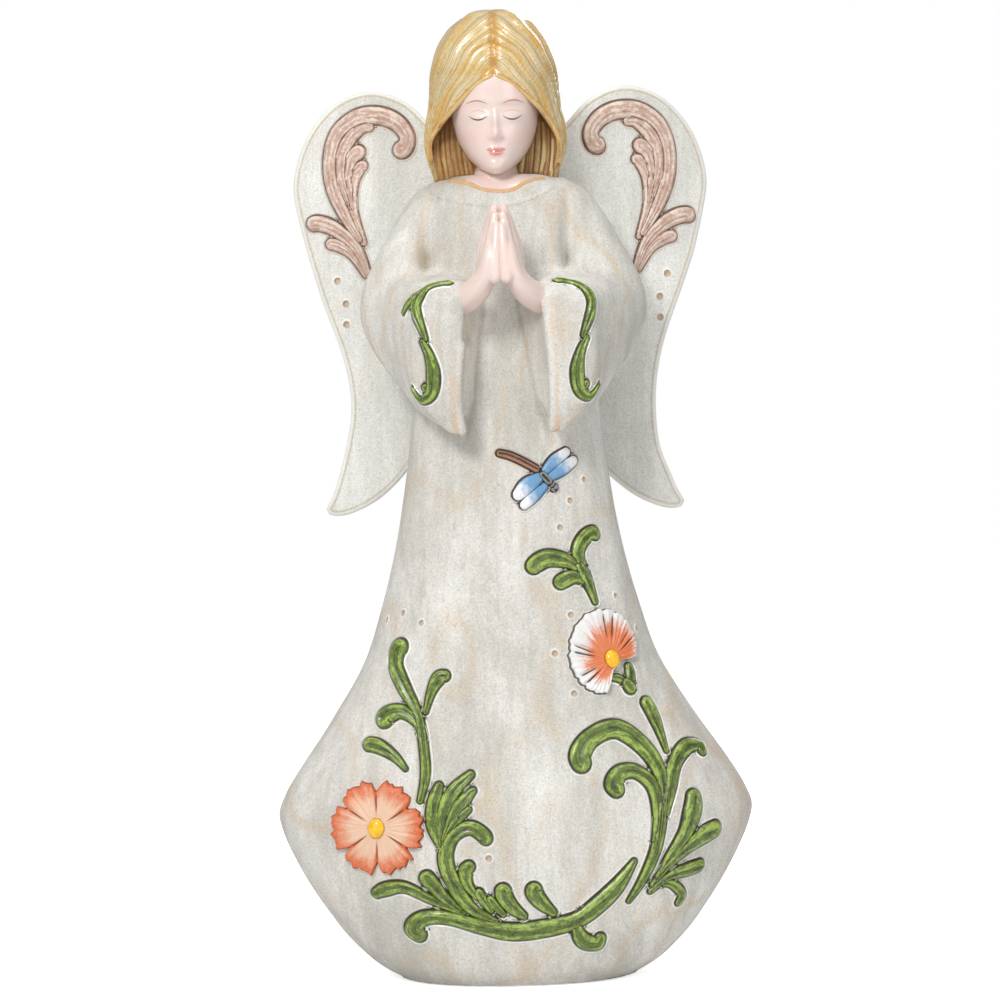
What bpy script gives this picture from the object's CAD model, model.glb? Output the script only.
# A painted resin angel for a grave or garden: the finer form of the cast, its paint, light and camera.
# Lengths in the tables are millimetres of the 406 mm figure, drawn about the middle of its robe.

import math

import bmesh
import bpy
import numpy as np
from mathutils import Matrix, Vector
from mathutils.bvhtree import BVHTree
from mathutils.noise import noise as noiseAt


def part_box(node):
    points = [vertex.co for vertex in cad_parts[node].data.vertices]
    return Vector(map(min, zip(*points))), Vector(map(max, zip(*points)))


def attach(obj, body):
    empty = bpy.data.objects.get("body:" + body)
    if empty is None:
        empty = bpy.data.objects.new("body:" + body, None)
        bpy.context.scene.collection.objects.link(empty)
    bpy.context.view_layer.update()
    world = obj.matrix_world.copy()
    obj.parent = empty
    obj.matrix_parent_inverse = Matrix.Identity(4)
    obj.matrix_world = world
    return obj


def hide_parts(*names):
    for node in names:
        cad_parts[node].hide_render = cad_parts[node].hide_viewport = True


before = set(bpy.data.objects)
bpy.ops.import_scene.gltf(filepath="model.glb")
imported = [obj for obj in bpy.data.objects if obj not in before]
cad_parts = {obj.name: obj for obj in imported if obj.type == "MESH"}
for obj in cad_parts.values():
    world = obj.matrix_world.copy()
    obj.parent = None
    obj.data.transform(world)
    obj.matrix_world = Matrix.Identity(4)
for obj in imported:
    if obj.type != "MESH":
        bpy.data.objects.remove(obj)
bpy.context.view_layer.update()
statueLow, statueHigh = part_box("angel_statue")
drawing = {"height": 406, "shiftBack": 9.2}  # shiftBack puts the middle of the whole at the origin
unit = (statueHigh[2] - statueLow[2]) / drawing["height"]
draws = np.random.default_rng(11)


def tableAt(table, at):  # rows of a table at these heights, on smooth curves
    rows = np.array(sorted(table), float)
    heights, values = rows[:, 0], rows[:, 1:]
    at = np.clip(np.atleast_1d(np.asarray(at, float)), heights[0], heights[-1])
    i = np.clip(np.searchsorted(heights, at) - 1, 0, len(heights) - 2)
    steps = np.diff(heights)[:, None]
    slopes = np.diff(values, axis=0) / steps
    inner = (slopes[:-1] * steps[1:] + slopes[1:] * steps[:-1]) / (steps[:-1] + steps[1:])
    bends = np.vstack((slopes[:1], inner, slopes[-1:]))
    gap = steps[i]
    t = (at - heights[i])[:, None] / gap
    return (
        (2 * t**3 - 3 * t**2 + 1) * values[i]
        + (t**3 - 2 * t**2 + t) * gap * bends[i]
        + (3 * t**2 - 2 * t**3) * values[i + 1]
        + (t**3 - t**2) * gap * bends[i + 1]
    )


def smoothCurve(points, steps, closed=False):  # points on a smooth curve through the given ones
    points = np.array(points, float)
    count = len(points)
    found = []
    for i in range(count if closed else count - 1):
        if closed:
            a, b, c, d = (points[(i + k) % count] for k in (-1, 0, 1, 2))
        else:
            b, c = points[i], points[i + 1]
            a = points[i - 1] if i else 2 * b - c
            d = points[i + 2] if i + 2 < count else 2 * c - b
        for t in np.arange(steps) / steps:
            found.append(0.5 * (2 * b + (c - a) * t + (2 * a - 5 * b + 4 * c - d) * t**2
                                + (3 * b - 3 * c + d - a) * t**3))
    if not closed:
        found.append(points[-1])
    return np.array(found)


def lengthsAlong(curve, columns=2):
    steps = np.linalg.norm(np.diff(curve[:, :columns], axis=0), axis=1)
    return np.concatenate(([0], np.cumsum(steps)))


def alongCurve(curve, distances, columns=2):
    reached = lengthsAlong(curve, columns)
    return np.array([np.interp(distances, reached, column) for column in curve.T]).T


def squaredOval(angle, halfWidth, front, back, power):
    across, ahead = np.sin(angle), np.cos(angle)
    reach = (np.abs(across) ** power + np.abs(ahead) ** power) ** (-1 / power)
    depth = np.where(ahead > 0, front, back)
    return halfWidth * reach * across, -depth * reach * ahead


def ringFaces(rings, sides, capped=True):
    faces = [
        (r * sides + k, r * sides + (k + 1) % sides, (r + 1) * sides + (k + 1) % sides,
         (r + 1) * sides + k)
        for r in range(rings - 1) for k in range(sides)
    ]
    if capped:
        faces.append(tuple(range(sides)))
        faces.append(tuple(range((rings - 1) * sides, rings * sides)))
    return faces


def inFrame(points):  # from the drawing's millimetres to metres in the frame
    return (np.asarray(points, float) + (0, drawing["shiftBack"], 0)) * unit


def makePiece(name, points, faces, paint=None, marks=None):
    mesh = bpy.data.meshes.new(name)
    mesh.from_pydata(inFrame(points).tolist(), [], faces)
    for key, values in (marks or {}).items():
        layer = mesh.attributes.new(key, "FLOAT", "POINT")
        layer.data.foreach_set("value", np.asarray(values, np.float32))
    shape = bmesh.new()
    shape.from_mesh(mesh)
    bmesh.ops.recalc_face_normals(shape, faces=shape.faces)
    shape.to_mesh(mesh)
    shape.free()
    if paint:
        mesh.materials.append(paint)
    piece = bpy.data.objects.new(name, mesh)
    bpy.context.scene.collection.objects.link(piece)
    return piece


def makeTube(name, path, radii, sides, paint=None, marks=None):  # a rope form with rounded ends
    path = np.asarray(path, float)
    radii = np.broadcast_to(radii, len(path))
    ahead = np.gradient(path, axis=0)
    ahead /= np.linalg.norm(ahead, axis=1)[:, None]
    first = np.cross(ahead[0], (0.3, 0.2, 1))
    points = []
    for place, onward, radius in zip(path, ahead, roundedEnds(path, radii)):
        first = first - onward * first.dot(onward)
        first /= np.linalg.norm(first)
        second = np.cross(onward, first)
        for k in range(sides):
            angle = 2 * math.pi * k / sides
            points.append(place + first * radius * math.cos(angle)
                          + second * radius * math.sin(angle))
    marks = {key: np.full(len(points), value) for key, value in (marks or {}).items()}
    return makePiece(name, points, ringFaces(len(path), sides), paint, marks)


def roundedEnds(path, radii):  # the same radii, rounded off at both ends
    reached = lengthsAlong(path, 3)
    nearest = np.minimum(reached, reached[-1] - reached)
    return radii * np.sqrt(np.maximum(0.02, 1 - np.maximum(0, 1 - nearest / radii) ** 2))


def evened(path, rounds):
    for _ in range(rounds):
        path[1:-1] = (path[:-2] + path[1:-1] * 2 + path[2:]) / 4
    return path


def joinPieces(pieces, name):
    mesh = bpy.data.meshes.new(name)
    shape = bmesh.new()
    for piece in pieces:
        shape.from_mesh(piece.data)
        bpy.data.objects.remove(piece)
    shape.to_mesh(mesh)
    shape.free()
    joined = bpy.data.objects.new(name, mesh)
    bpy.context.scene.collection.objects.link(joined)
    return joined


def applyModifiers(piece):
    bpy.context.view_layer.update()
    graph = bpy.context.evaluated_depsgraph_get()
    mesh = bpy.data.meshes.new_from_object(piece.evaluated_get(graph))
    piece.modifiers.clear()
    piece.data = mesh
    return piece


def combine(target, others, operation):  # one Boolean with all the others at once
    group = bpy.data.collections.new("toCombine")
    bpy.context.scene.collection.children.link(group)
    for other in others:
        bpy.context.scene.collection.objects.unlink(other)
        group.objects.link(other)
    boolean = target.modifiers.new("combine", "BOOLEAN")
    boolean.operation = operation
    boolean.solver = "MANIFOLD"
    boolean.operand_type = "COLLECTION"
    boolean.collection = group
    boolean.material_mode = "TRANSFER"
    applyModifiers(target)
    for other in others:
        bpy.data.objects.remove(other)
    bpy.data.collections.remove(group)
    return target


def softenBySculpting(piece, look):  # one skin over all the forms, then smoothed and thinned
    remesh = piece.modifiers.new("oneSkin", "REMESH")
    remesh.mode = "VOXEL"
    remesh.voxel_size = look["voxel"] * unit
    applyModifiers(piece)
    if "softZone" in look:
        zone = piece.vertex_groups.new(name="softZone")
        weights = look["softZone"](placesOf(piece))
        for level in range(1, 11):
            chosen = np.nonzero(np.round(weights * 10) == level)[0].tolist()
            zone.add(chosen, level / 10, "REPLACE")
        soft = piece.modifiers.new("soften", "SMOOTH")
        soft.factor = 0.5
        soft.iterations = look["softRounds"]
        soft.vertex_group = "softZone"
    smooth = piece.modifiers.new("smooth", "SMOOTH")
    smooth.factor = 0.5
    smooth.iterations = look["rounds"]
    if look.get("keep", 1) < 1:
        thin = piece.modifiers.new("thin", "DECIMATE")
        thin.ratio = look["keep"]
    return applyModifiers(piece)


def placesOf(piece):  # vertex places in the drawing's millimetres
    places = np.empty(len(piece.data.vertices) * 3)
    piece.data.vertices.foreach_get("co", places)
    return places.reshape(-1, 3) / unit - (0, drawing["shiftBack"], 0)


def putPlaces(piece, places):
    piece.data.vertices.foreach_set("co", inFrame(places).ravel())
    piece.data.update()


def normalsOf(piece):
    normals = np.empty(len(piece.data.vertices) * 3)
    piece.data.vertices.foreach_get("normal", normals)
    return normals.reshape(-1, 3)


def setMark(piece, key, values):
    layer = piece.data.attributes.get(key) or piece.data.attributes.new(key, "FLOAT", "POINT")
    layer.data.foreach_set("value", np.asarray(values, np.float32))


def hollowness(piece):  # 1 in tight creases, 0 on open or rounded surface
    mesh = piece.data
    count = len(mesh.vertices)
    places, normals = placesOf(piece), normalsOf(piece)
    ends = np.empty(len(mesh.edges) * 2, int)
    mesh.edges.foreach_get("vertices", ends)
    a, b = ends[::2], ends[1::2]
    along = places[b] - places[a]
    length = np.linalg.norm(along, axis=1) + 1e-9
    bend, links = np.zeros(count), np.zeros(count)
    np.add.at(bend, a, (along * normals[a]).sum(axis=1) / length**1.5)
    np.add.at(bend, b, -(along * normals[b]).sum(axis=1) / length**1.5)
    np.add.at(links, a, 1)
    np.add.at(links, b, 1)
    bend /= np.maximum(links, 1)
    for _ in range(3):
        spread = bend.copy()
        np.add.at(spread, a, bend[b])
        np.add.at(spread, b, bend[a])
        bend = spread / (links + 1)
    return np.clip((bend - 0.05) / 0.14, 0, 1)


def distanceTo(places, path):  # from each place to the nearest point of a fine path
    nearest = np.full(len(places), 1e9)
    for point in path:
        nearest = np.minimum(nearest, np.linalg.norm(places - point, axis=1))
    return nearest


def treeFor(points, faces):
    return BVHTree.FromPolygons([tuple(p) for p in points], [tuple(face.vertices) for face in faces])


def frontOf(tree, x, z):  # where a line from the front first meets a form
    hit = tree.ray_cast(Vector((x, -200, z)), Vector((0, 1, 0)))[0]
    return hit.y if hit else None


def outwardAt(surface, x, z, reach):  # straight out of a surface that faces the front
    slopeX = (surface(x + reach, z) - surface(x - reach, z)) / (2 * reach)
    slopeZ = (surface(x, z + reach) - surface(x, z - reach)) / (2 * reach)
    out = np.array((np.clip(slopeX, -2.5, 2.5), -1.0, np.clip(slopeZ, -2.5, 2.5)))
    return out / np.linalg.norm(out)


print("tools ready")


class Field:  # a value over the surface, so that the paints below read as sums
    def __init__(self, socket):
        self.socket = socket

    def __add__(self, other):
        return calc("ADD", self, other)

    def __sub__(self, other):
        return calc("SUBTRACT", self, other)

    def __mul__(self, other):
        return calc("MULTIPLY", self, other)

    def __truediv__(self, other):
        return calc("DIVIDE", self, other)


def treeOf(*values):
    return next(value.socket.node.id_data for value in values if isinstance(value, Field))


def setInputs(node, values):
    for key, value in values.items():
        if isinstance(value, Field):
            node.id_data.links.new(value.socket, node.inputs[key])
        else:
            node.inputs[key].default_value = value


def addNode(tree, kind, values=None, **settings):
    node = tree.nodes.new(kind)
    for key, value in settings.items():
        setattr(node, key, value)
    setInputs(node, values or {})
    return node


def colour(red, green, blue):  # from the usual 0 to 255 values to linear light
    return tuple((v / 255 / 12.92 if v < 11 else ((v / 255 + 0.055) / 1.055) ** 2.4)
                 for v in (red, green, blue)) + (1,)


def mixed(mask, first, second, how="MIX"):
    node = addNode(treeOf(mask, first, second), "ShaderNodeMix", {0: mask, 6: first, 7: second},
                   data_type="RGBA", blend_type=how, clamp_factor=True)
    return Field(node.outputs[2])


def calc(operation, first, second=0.0, clamp=False):
    node = addNode(treeOf(first, second), "ShaderNodeMath", {0: first, 1: second},
                   operation=operation, use_clamp=clamp)
    return Field(node.outputs[0])


def between(value, low, high, lowValue=0.0, highValue=1.0):
    node = addNode(treeOf(value), "ShaderNodeMapRange",
                   {"Value": value, "From Min": low, "From Max": high, "To Min": lowValue,
                    "To Max": highValue}, interpolation_type="SMOOTHSTEP")
    return Field(node.outputs["Result"])


def mark(tree, name):
    return Field(addNode(tree, "ShaderNodeAttribute", attribute_name=name).outputs["Fac"])


def objectPlace(tree):
    return Field(addNode(tree, "ShaderNodeTexCoord").outputs["Object"])


def noise(where, scale, detail=2.0, roughness=0.5, distortion=0.0):
    node = addNode(treeOf(where), "ShaderNodeTexNoise",
                   {"Vector": where, "Scale": scale, "Detail": detail, "Roughness": roughness,
                    "Distortion": distortion})
    return Field(node.outputs["Fac"])


def stretched(where, scale):
    node = addNode(treeOf(where), "ShaderNodeMapping", {"Vector": where, "Scale": scale})
    return Field(node.outputs["Vector"])


def combined(x, y, z):
    return Field(addNode(treeOf(x, y), "ShaderNodeCombineXYZ", {0: x, 1: y, 2: z}).outputs[0])


def newGroup(name, inputs, outputs):  # inputs by name, each with the value it starts from
    tree = bpy.data.node_groups.new(name, "ShaderNodeTree")
    for label, value in inputs.items():
        kind = "NodeSocketColor" if isinstance(value, tuple) else "NodeSocketFloat"
        tree.interface.new_socket(label, in_out="INPUT", socket_type=kind).default_value = value
    for label in outputs:
        kind = "NodeSocketColor" if label == "Color" else "NodeSocketFloat"
        tree.interface.new_socket(label, in_out="OUTPUT", socket_type=kind)
    given = tree.nodes.new("NodeGroupInput").outputs
    return tree, {label: Field(given[label]) for label in inputs}, tree.nodes.new("NodeGroupOutput")


def useGroup(tree, group, values):
    node = addNode(tree, "ShaderNodeGroup", values, node_tree=group)
    return {socket.name: Field(socket) for socket in node.outputs}


def washGroup():  # brushed grey-cream wash, rubbed back to tan in places, and its fine grit
    tree, given, put = newGroup("brushedWash", {
        "Pale": colour(226, 223, 214), "Shade": colour(196, 192, 180), "Rubbed": colour(214, 188, 158),
        "Rubbed Amount": 0.5, "Worn": 0.0}, ("Color", "Height"))
    where = objectPlace(tree)
    clouds = noise(stretched(where, (1, 1, 0.4)), 30, 5, 0.62, 0.8)
    streaks = noise(stretched(where, (1, 1, 0.06)), 150, 4, 0.62)
    brush = noise(stretched(where, (1, 1, 0.35)), 480, 4, 0.7, 1.0)
    grit = noise(where, 1250, 3, 0.75)
    body = between(clouds * 0.62 + streaks * 0.3 + brush * 0.22, 0.42, 0.74)
    base = mixed(body, given["Shade"], given["Pale"])
    patch = between(noise(stretched(where, (1, 1, 0.5)), 30, 5, 0.6, 1.6), 0.52, 0.7)
    worn = calc("MAXIMUM", patch * 0.6, given["Worn"])
    worn = worn * between(brush, 0.36, 0.62, 0.25, 1.0) * given["Rubbed Amount"]
    sand = between(noise(where, 900, 2, 0.6), 0.56, 0.68, 0.0, 0.3)
    pock = between(noise(where, 1500, 1, 0.5), 0.64, 0.72, 0.0, 0.4)
    base = mixed(sand, mixed(worn, base, given["Rubbed"]), given["Rubbed"])
    base = mixed(pock, base, colour(140, 128, 108))
    speck = between(grit, 0.34, 0.66, 0.87, 1.08)
    spotted = addNode(tree, "ShaderNodeCombineColor", {0: speck, 1: speck, 2: speck}).outputs[0]
    setInputs(put, {"Color": mixed(1.0, base, Field(spotted), "MULTIPLY"),
                    "Height": brush * 0.7 + grit * 0.4})
    return tree


def arcGroup():  # a painted line, bowed like a stroke of a fine brush
    tree, given, put = newGroup("brushArc", {
        "Across": 0.0, "Up": 0.0, "Middle": 0.0, "Level": 0.0, "Half Length": 4.0, "Bow": 1.0,
        "Thickness": 0.4}, ("Mask",))
    along = (given["Across"] - given["Middle"]) / given["Half Length"]
    squared = along * along
    off = calc("ABSOLUTE", given["Up"] - (given["Level"] - squared * given["Bow"]))
    thick = given["Thickness"] * calc("SUBTRACT", 1.0, squared * 0.75, True)
    body = between(off / calc("MAXIMUM", thick, 0.02), 0.55, 1.25, 1.0, 0.0)
    setInputs(put, {"Mask": body * between(squared, 0.94, 1.06, 1.0, 0.0)})
    return tree


def spotGroup():  # a soft round spot of colour
    tree, given, put = newGroup("softSpot", {
        "Across": 0.0, "Up": 0.0, "Middle": 0.0, "Level": 0.0, "Half Width": 4.0,
        "Half Height": 4.0, "Edge": 0.5}, ("Mask",))
    x = (given["Across"] - given["Middle"]) / given["Half Width"]
    z = (given["Up"] - given["Level"]) / given["Half Height"]
    low = calc("SUBTRACT", 1.0, given["Edge"])
    setInputs(put, {"Mask": between(x * x + z * z, low, given["Edge"] + 1.0, 1.0, 0.0)})
    return tree


def reliefGroup():  # brushed paint on carving: streaked lengthways, dark where it pools at the foot
    tree, given, put = newGroup("carvedPaint", {
        "Bright": colour(160, 182, 92), "Body": colour(112, 130, 52), "Dark": colour(66, 72, 30),
        "Outline": colour(74, 52, 34), "Fleck": colour(236, 234, 228), "Outline Amount": 1.0,
        "Ridge Amount": 0.5}, ("Color", "Height"))
    where = objectPlace(tree)
    strokeAt = combined(mark(tree, "run") * 0.13, mark(tree, "across") * 2.3, mark(tree, "tone") * 9.0)
    streak = noise(strokeAt, 1.6, 4, 0.68)
    ragged = noise(where, 620, 4, 0.72)
    fine = noise(where, 1900, 3, 0.7)
    level = streak * 1.2 + ragged * 0.7 + noise(where, 170, 3, 0.6) * 0.5 - 0.225
    level = level + (mark(tree, "ridge") - 0.6) * given["Ridge Amount"]
    body = mixed(between(level, 0.98, 1.24), given["Body"], given["Bright"])
    body = mixed(between(level, 0.68, 0.93, 0.9, 0.0), body, given["Dark"])
    body = mixed(between(fine, 0.62, 0.74, 0.0, 0.3), body, given["Fleck"])
    outline = between(mark(tree, "lift") + (ragged - 0.5) * 0.3, 0.2, 0.55, 1.0, 0.0)
    outline = outline * between(mark(tree, "side"), -0.7, 0.4, 0.25, 1.0) * given["Outline Amount"]
    setInputs(put, {"Color": mixed(outline, body, given["Outline"]), "Height": streak + fine * 0.3})
    return tree


wash = washGroup()
arc = arcGroup()
spot = spotGroup()
carved = reliefGroup()


def newPaint(name, roughness, coat=0.0, coatRoughness=0.2, specular=0.5):
    material = bpy.data.materials.new(name)
    material.use_nodes = True
    shader = material.node_tree.nodes["Principled BSDF"]
    setInputs(shader, {"Roughness": roughness, "Coat Weight": coat, "Coat Roughness": coatRoughness,
                       "Specular IOR Level": specular})
    return material, material.node_tree, shader


def coatWith(shader, paint, height, strength, depth):
    bump = addNode(shader.id_data, "ShaderNodeBump", {"Height": height, "Strength": strength,
                                                      "Distance": depth * unit})
    setInputs(shader, {"Base Color": paint, "Normal": Field(bump.outputs["Normal"])})


def washedPaint(name, look):  # robe and wings
    material, tree, shader = newPaint(name, look["roughness"], specular=0.35)
    washed = useGroup(tree, wash, {"Pale": look["pale"], "Shade": look["shade"],
                                   "Rubbed": look["rubbed"], "Rubbed Amount": look["rubbedAmount"],
                                   "Worn": mark(tree, "worn")})
    ragged = between(noise(objectPlace(tree), 700, 3, 0.7), 0.3, 0.6, 0.45, 0.95)
    shaded = mixed(mark(tree, "hollow") * look["hollowAmount"], washed["Color"], look["hollow"])
    shaded = mixed(mark(tree, "trim") * ragged, shaded, look["trim"])
    shaded = mixed(mark(tree, "rim") * 0.75, shaded, look["glint"])
    coatWith(shader, shaded, washed["Height"], 0.4, 0.25)
    return material


def paleRim(tree, glint, slants):  # the robe's wash round the carving, paler on its lit side
    washed = useGroup(tree, wash, {"Pale": robeLook["pale"], "Shade": robeLook["shade"],
                                   "Rubbed Amount": 0.3})
    return mixed(between(mark(tree, "side"), *slants), washed["Color"], glint)


def carvedPaint(name, look):  # leaves, scrolls and the dragonfly
    material, tree, shader = newPaint(name, look["roughness"], look["coat"])
    painted = useGroup(tree, carved, {"Bright": look["bright"], "Body": look["body"],
                                      "Dark": look["dark"], "Outline": look["outline"],
                                      "Fleck": look["glint"], "Ridge Amount": look["ridgeAmount"],
                                      "Outline Amount": look["outlineAmount"]})
    rim = paleRim(tree, look["glint"], (-0.4, 0.6, 1.0, 0.15))
    coatWith(shader, mixed(mark(tree, "rim"), painted["Color"], rim), painted["Height"], 0.35, 0.3)
    return material


robeLook = {"roughness": 0.7, "pale": colour(227, 226, 221), "shade": colour(191, 189, 181),
            "rubbed": colour(202, 178, 148), "rubbedAmount": 0.6, "hollow": colour(128, 116, 96),
            "hollowAmount": 0.6, "trim": colour(216, 164, 108), "glint": colour(240, 239, 234)}
wingLook = {"roughness": 0.75, "pale": colour(234, 234, 230), "shade": colour(206, 206, 200),
            "rubbed": colour(210, 192, 168), "rubbedAmount": 0.5, "hollow": colour(240, 240, 232),
            "hollowAmount": 0.8, "trim": colour(184, 166, 142), "glint": colour(240, 239, 234)}
leafLook = {"roughness": 0.36, "coat": 0.35, "bright": colour(156, 180, 82),
            "body": colour(92, 112, 42), "dark": colour(42, 47, 25),
            "outline": colour(52, 40, 26), "glint": colour(252, 252, 250), "outlineAmount": 0.92,
            "ridgeAmount": 0.38}
scrollLook = {"roughness": 0.62, "coat": 0.0, "bright": colour(222, 208, 196),
              "body": colour(190, 158, 142), "dark": colour(138, 102, 88),
              "outline": colour(84, 62, 52), "glint": colour(230, 227, 220),
              "outlineAmount": 0.75, "ridgeAmount": 0.5}
insectLook = {"roughness": 0.42, "coat": 0.2, "bright": colour(168, 122, 92),
              "body": colour(98, 66, 50), "dark": colour(70, 42, 30),
              "outline": colour(44, 30, 26), "glint": colour(236, 230, 220),
              "outlineAmount": 1.0, "ridgeAmount": 0.8}
thoraxLook = {**insectLook, "bright": colour(150, 150, 150), "body": colour(96, 96, 92),
              "dark": colour(44, 40, 38)}
robePaint = washedPaint("robeWash", robeLook)
wingPaint = washedPaint("wingWash", wingLook)
leafPaint = carvedPaint("leafPaint", leafLook)
scrollPaint = carvedPaint("scrollPaint", scrollLook)
insectPaint = carvedPaint("insectBrown", insectLook)
thoraxPaint = carvedPaint("insectGrey", thoraxLook)


def petalPaintOf(name, look):
    material, tree, shader = newPaint(name, 0.5, 0.1)
    where, reach = objectPlace(tree), mark(tree, "reach")
    mottle = noise(where, 900, 5, 0.75)
    blotch = noise(where, 240, 3, 0.6)
    ray = noise(combined(mark(tree, "tone") * look["rays"], reach, 0.0), 1.0, 4, 0.7)
    level = reach + (mottle - 0.5) * 0.4 + (blotch - 0.5) * 0.4 + (ray - 0.5) * look["rayAmount"]
    body = mixed(between(level, look["start"], look["end"]), look["inner"], look["outer"])
    body = mixed(between(mottle * 0.5 + ray * 0.5, 0.53, 0.66, 0.0, 0.6), body, look["fleck"])
    body = mixed(between(mark(tree, "lift"), 0.25, 0.7, 1.0, 0.0) * 0.9, body, look["outline"])
    body = mixed(mark(tree, "rim"), body, paleRim(tree, robeLook["glint"], (-0.5, 0.4, 0.95, 0.35)))
    coatWith(shader, body, mottle + ray * 1.2, 0.35, 0.35)
    return material


roundPaint = petalPaintOf("roundPetals", {
    "inner": colour(228, 190, 162), "outer": colour(212, 104, 56), "fleck": colour(248, 222, 200),
    "outline": colour(168, 100, 70), "start": 0.5, "end": 1.0, "rays": 7.0, "rayAmount": 0.55})
fanPaint = petalPaintOf("fanPetals", {
    "inner": colour(222, 126, 80), "outer": colour(232, 233, 232), "fleck": colour(240, 214, 196),
    "outline": colour(92, 74, 62), "start": 0.44, "end": 0.84, "rays": 9.0, "rayAmount": 0.9})


def plainPaint(name, main, second, roughness, coat, scale):
    material, tree, shader = newPaint(name, roughness, coat, 0.1)
    cloudy = noise(objectPlace(tree), scale, 4, 0.6)
    coatWith(shader, mixed(between(cloudy, 0.35, 0.68), main, second), cloudy, 0.2, 0.2)
    return material


buttonPaint = plainPaint("buttonYellow", colour(240, 178, 8), colour(250, 202, 40),
                         0.3, 0.5, 500)
pitPaint = plainPaint("pitTan", colour(208, 182, 154), colour(198, 190, 176), 0.7, 0.0, 300)

skinLook = {
    "skin": colour(229, 209, 201), "flush": colour(236, 198, 190), "lip": colour(226, 146, 142),
    "line": colour(70, 42, 38), "brow": colour(168, 116, 74), "crease": colour(214, 168, 156),
    "spots": (  # colour, strength, middle, level, half width, half height and edge
        ("flush", 0.34, 9.6, 15.5, 5.5, 4.5, 0.9), ("lip", 0.85, 1.35, 10.35, 2.5, 0.95, 0.3),
        ("lip", 0.85, 0.0, 9.1, 3.0, 1.2, 0.3)),
    "arcs": (  # colour, strength, middle, level, half length, bow and thickness
        ("line", 0.45, 0.0, 9.6, 3.9, -0.8, 0.2), ("crease", 0.8, 7.1, 26.4, 4.1, 1.3, 0.24),
        ("line", 0.95, 7.1, 22.6, 3.9, -1.6, 0.36), ("brow", 0.9, 7.6, 30.4, 4.6, 1.5, 0.3)),
}


def skinPaintOf(look):
    material, tree, shader = newPaint("skinGloss", 0.26, 0.35, 0.08)
    across = calc("ABSOLUTE", mark(tree, "faceAcross"))
    up, front = mark(tree, "faceUp"), mark(tree, "faceFront")
    cloudy = between(noise(objectPlace(tree), 120, 3, 0.5), 0.4, 0.7, 0.0, 0.25)
    shade = mixed(cloudy, look["skin"], look["flush"])
    shade = mixed(mark(tree, "hollow") * 0.75, shade, look["flush"])
    for group, names, kind in ((spot, ("Half Width", "Half Height", "Edge"), "spots"),
                               (arc, ("Half Length", "Bow", "Thickness"), "arcs")):
        for paint, strength, *shape in look[kind]:
            values = dict(zip(("Across", "Up", "Middle", "Level", *names), (across, up, *shape)))
            mask = useGroup(tree, group, values)["Mask"]
            shade = mixed(mask * front * strength, shade, look[paint])
    setInputs(shader, {"Base Color": shade})
    return material


skinPaint = skinPaintOf(skinLook)


def hairPaintOf(name, look):
    material, tree, shader = newPaint(name, 0.34, look["coat"], 0.12)
    where, lock = objectPlace(tree), mark(tree, "ridge")
    streakAt = combined(mark(tree, "run"), 0.0, 0.0)
    streak = noise(streakAt, 1.5, 4, 0.7)
    cloudy = noise(where, 90, 4, 0.65)
    pale = streak * 0.6 + noise(streakAt, 0.3, 2, 0.5) * 0.6 + cloudy * 0.5 + lock * 0.3
    body = mixed(between(cloudy, 0.38, 0.62), look["deep"], look["gold"])
    body = mixed(between(pale, 0.98, 1.24) * 0.9, body, look["pale"])
    level = lock * 0.35 + (streak - 0.5) * 1.5 + (noise(where, 700, 3, 0.6) - 0.5) * 0.25
    body = mixed(between(level, 0.14, 0.42, 0.85, 0.0), body, look["groove"])
    body = mixed(mark(tree, "trim") * 0.7, body, look["edge"])
    coatWith(shader, body, streak, 0.5, 0.3)
    return material


hairLook = {"coat": 0.8, "gold": colour(222, 194, 112), "deep": colour(212, 174, 88),
            "pale": colour(216, 214, 186), "groove": colour(190, 138, 64),
            "edge": colour(222, 174, 94)}
innerHairLook = {"coat": 0.35, "gold": colour(186, 146, 70), "deep": colour(158, 116, 56),
                 "pale": colour(186, 174, 122), "groove": colour(136, 88, 44),
                 "edge": colour(206, 146, 76)}
hairPaint = hairPaintOf("hairGold", hairLook)
innerHairPaint = hairPaintOf("innerHair", innerHairLook)


def dragonflyWingPaint(blue, white, vein, outline):
    material, tree, shader = newPaint("insectBlue", 0.4, 0.2)
    cloudy = noise(objectPlace(tree), 420, 4, 0.7)
    level = mark(tree, "reach") + (cloudy - 0.5) * 0.7
    body = mixed(between(level, 0.35, 0.85), blue, white)
    body = mixed(between(cloudy, 0.6, 0.68, 0.0, 0.5), body, vein)
    edge = between(mark(tree, "lift"), 0.3, 0.75, 1.0, 0.0)
    body = mixed(edge * between(mark(tree, "side"), -1.0, 0.3, 0.6, 1.0), body, outline)
    washed = useGroup(tree, wash, {"Rubbed Amount": 0.3})
    body = mixed(mark(tree, "rim"), body, mixed(0.5, washed["Color"], colour(240, 238, 232)))
    coatWith(shader, body, cloudy, 0.3, 0.25)
    return material


bluePaint = dragonflyWingPaint(colour(104, 154, 196), colour(234, 236, 238), colour(60, 96, 140),
                               colour(64, 46, 40))
print("paint ready")


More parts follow.
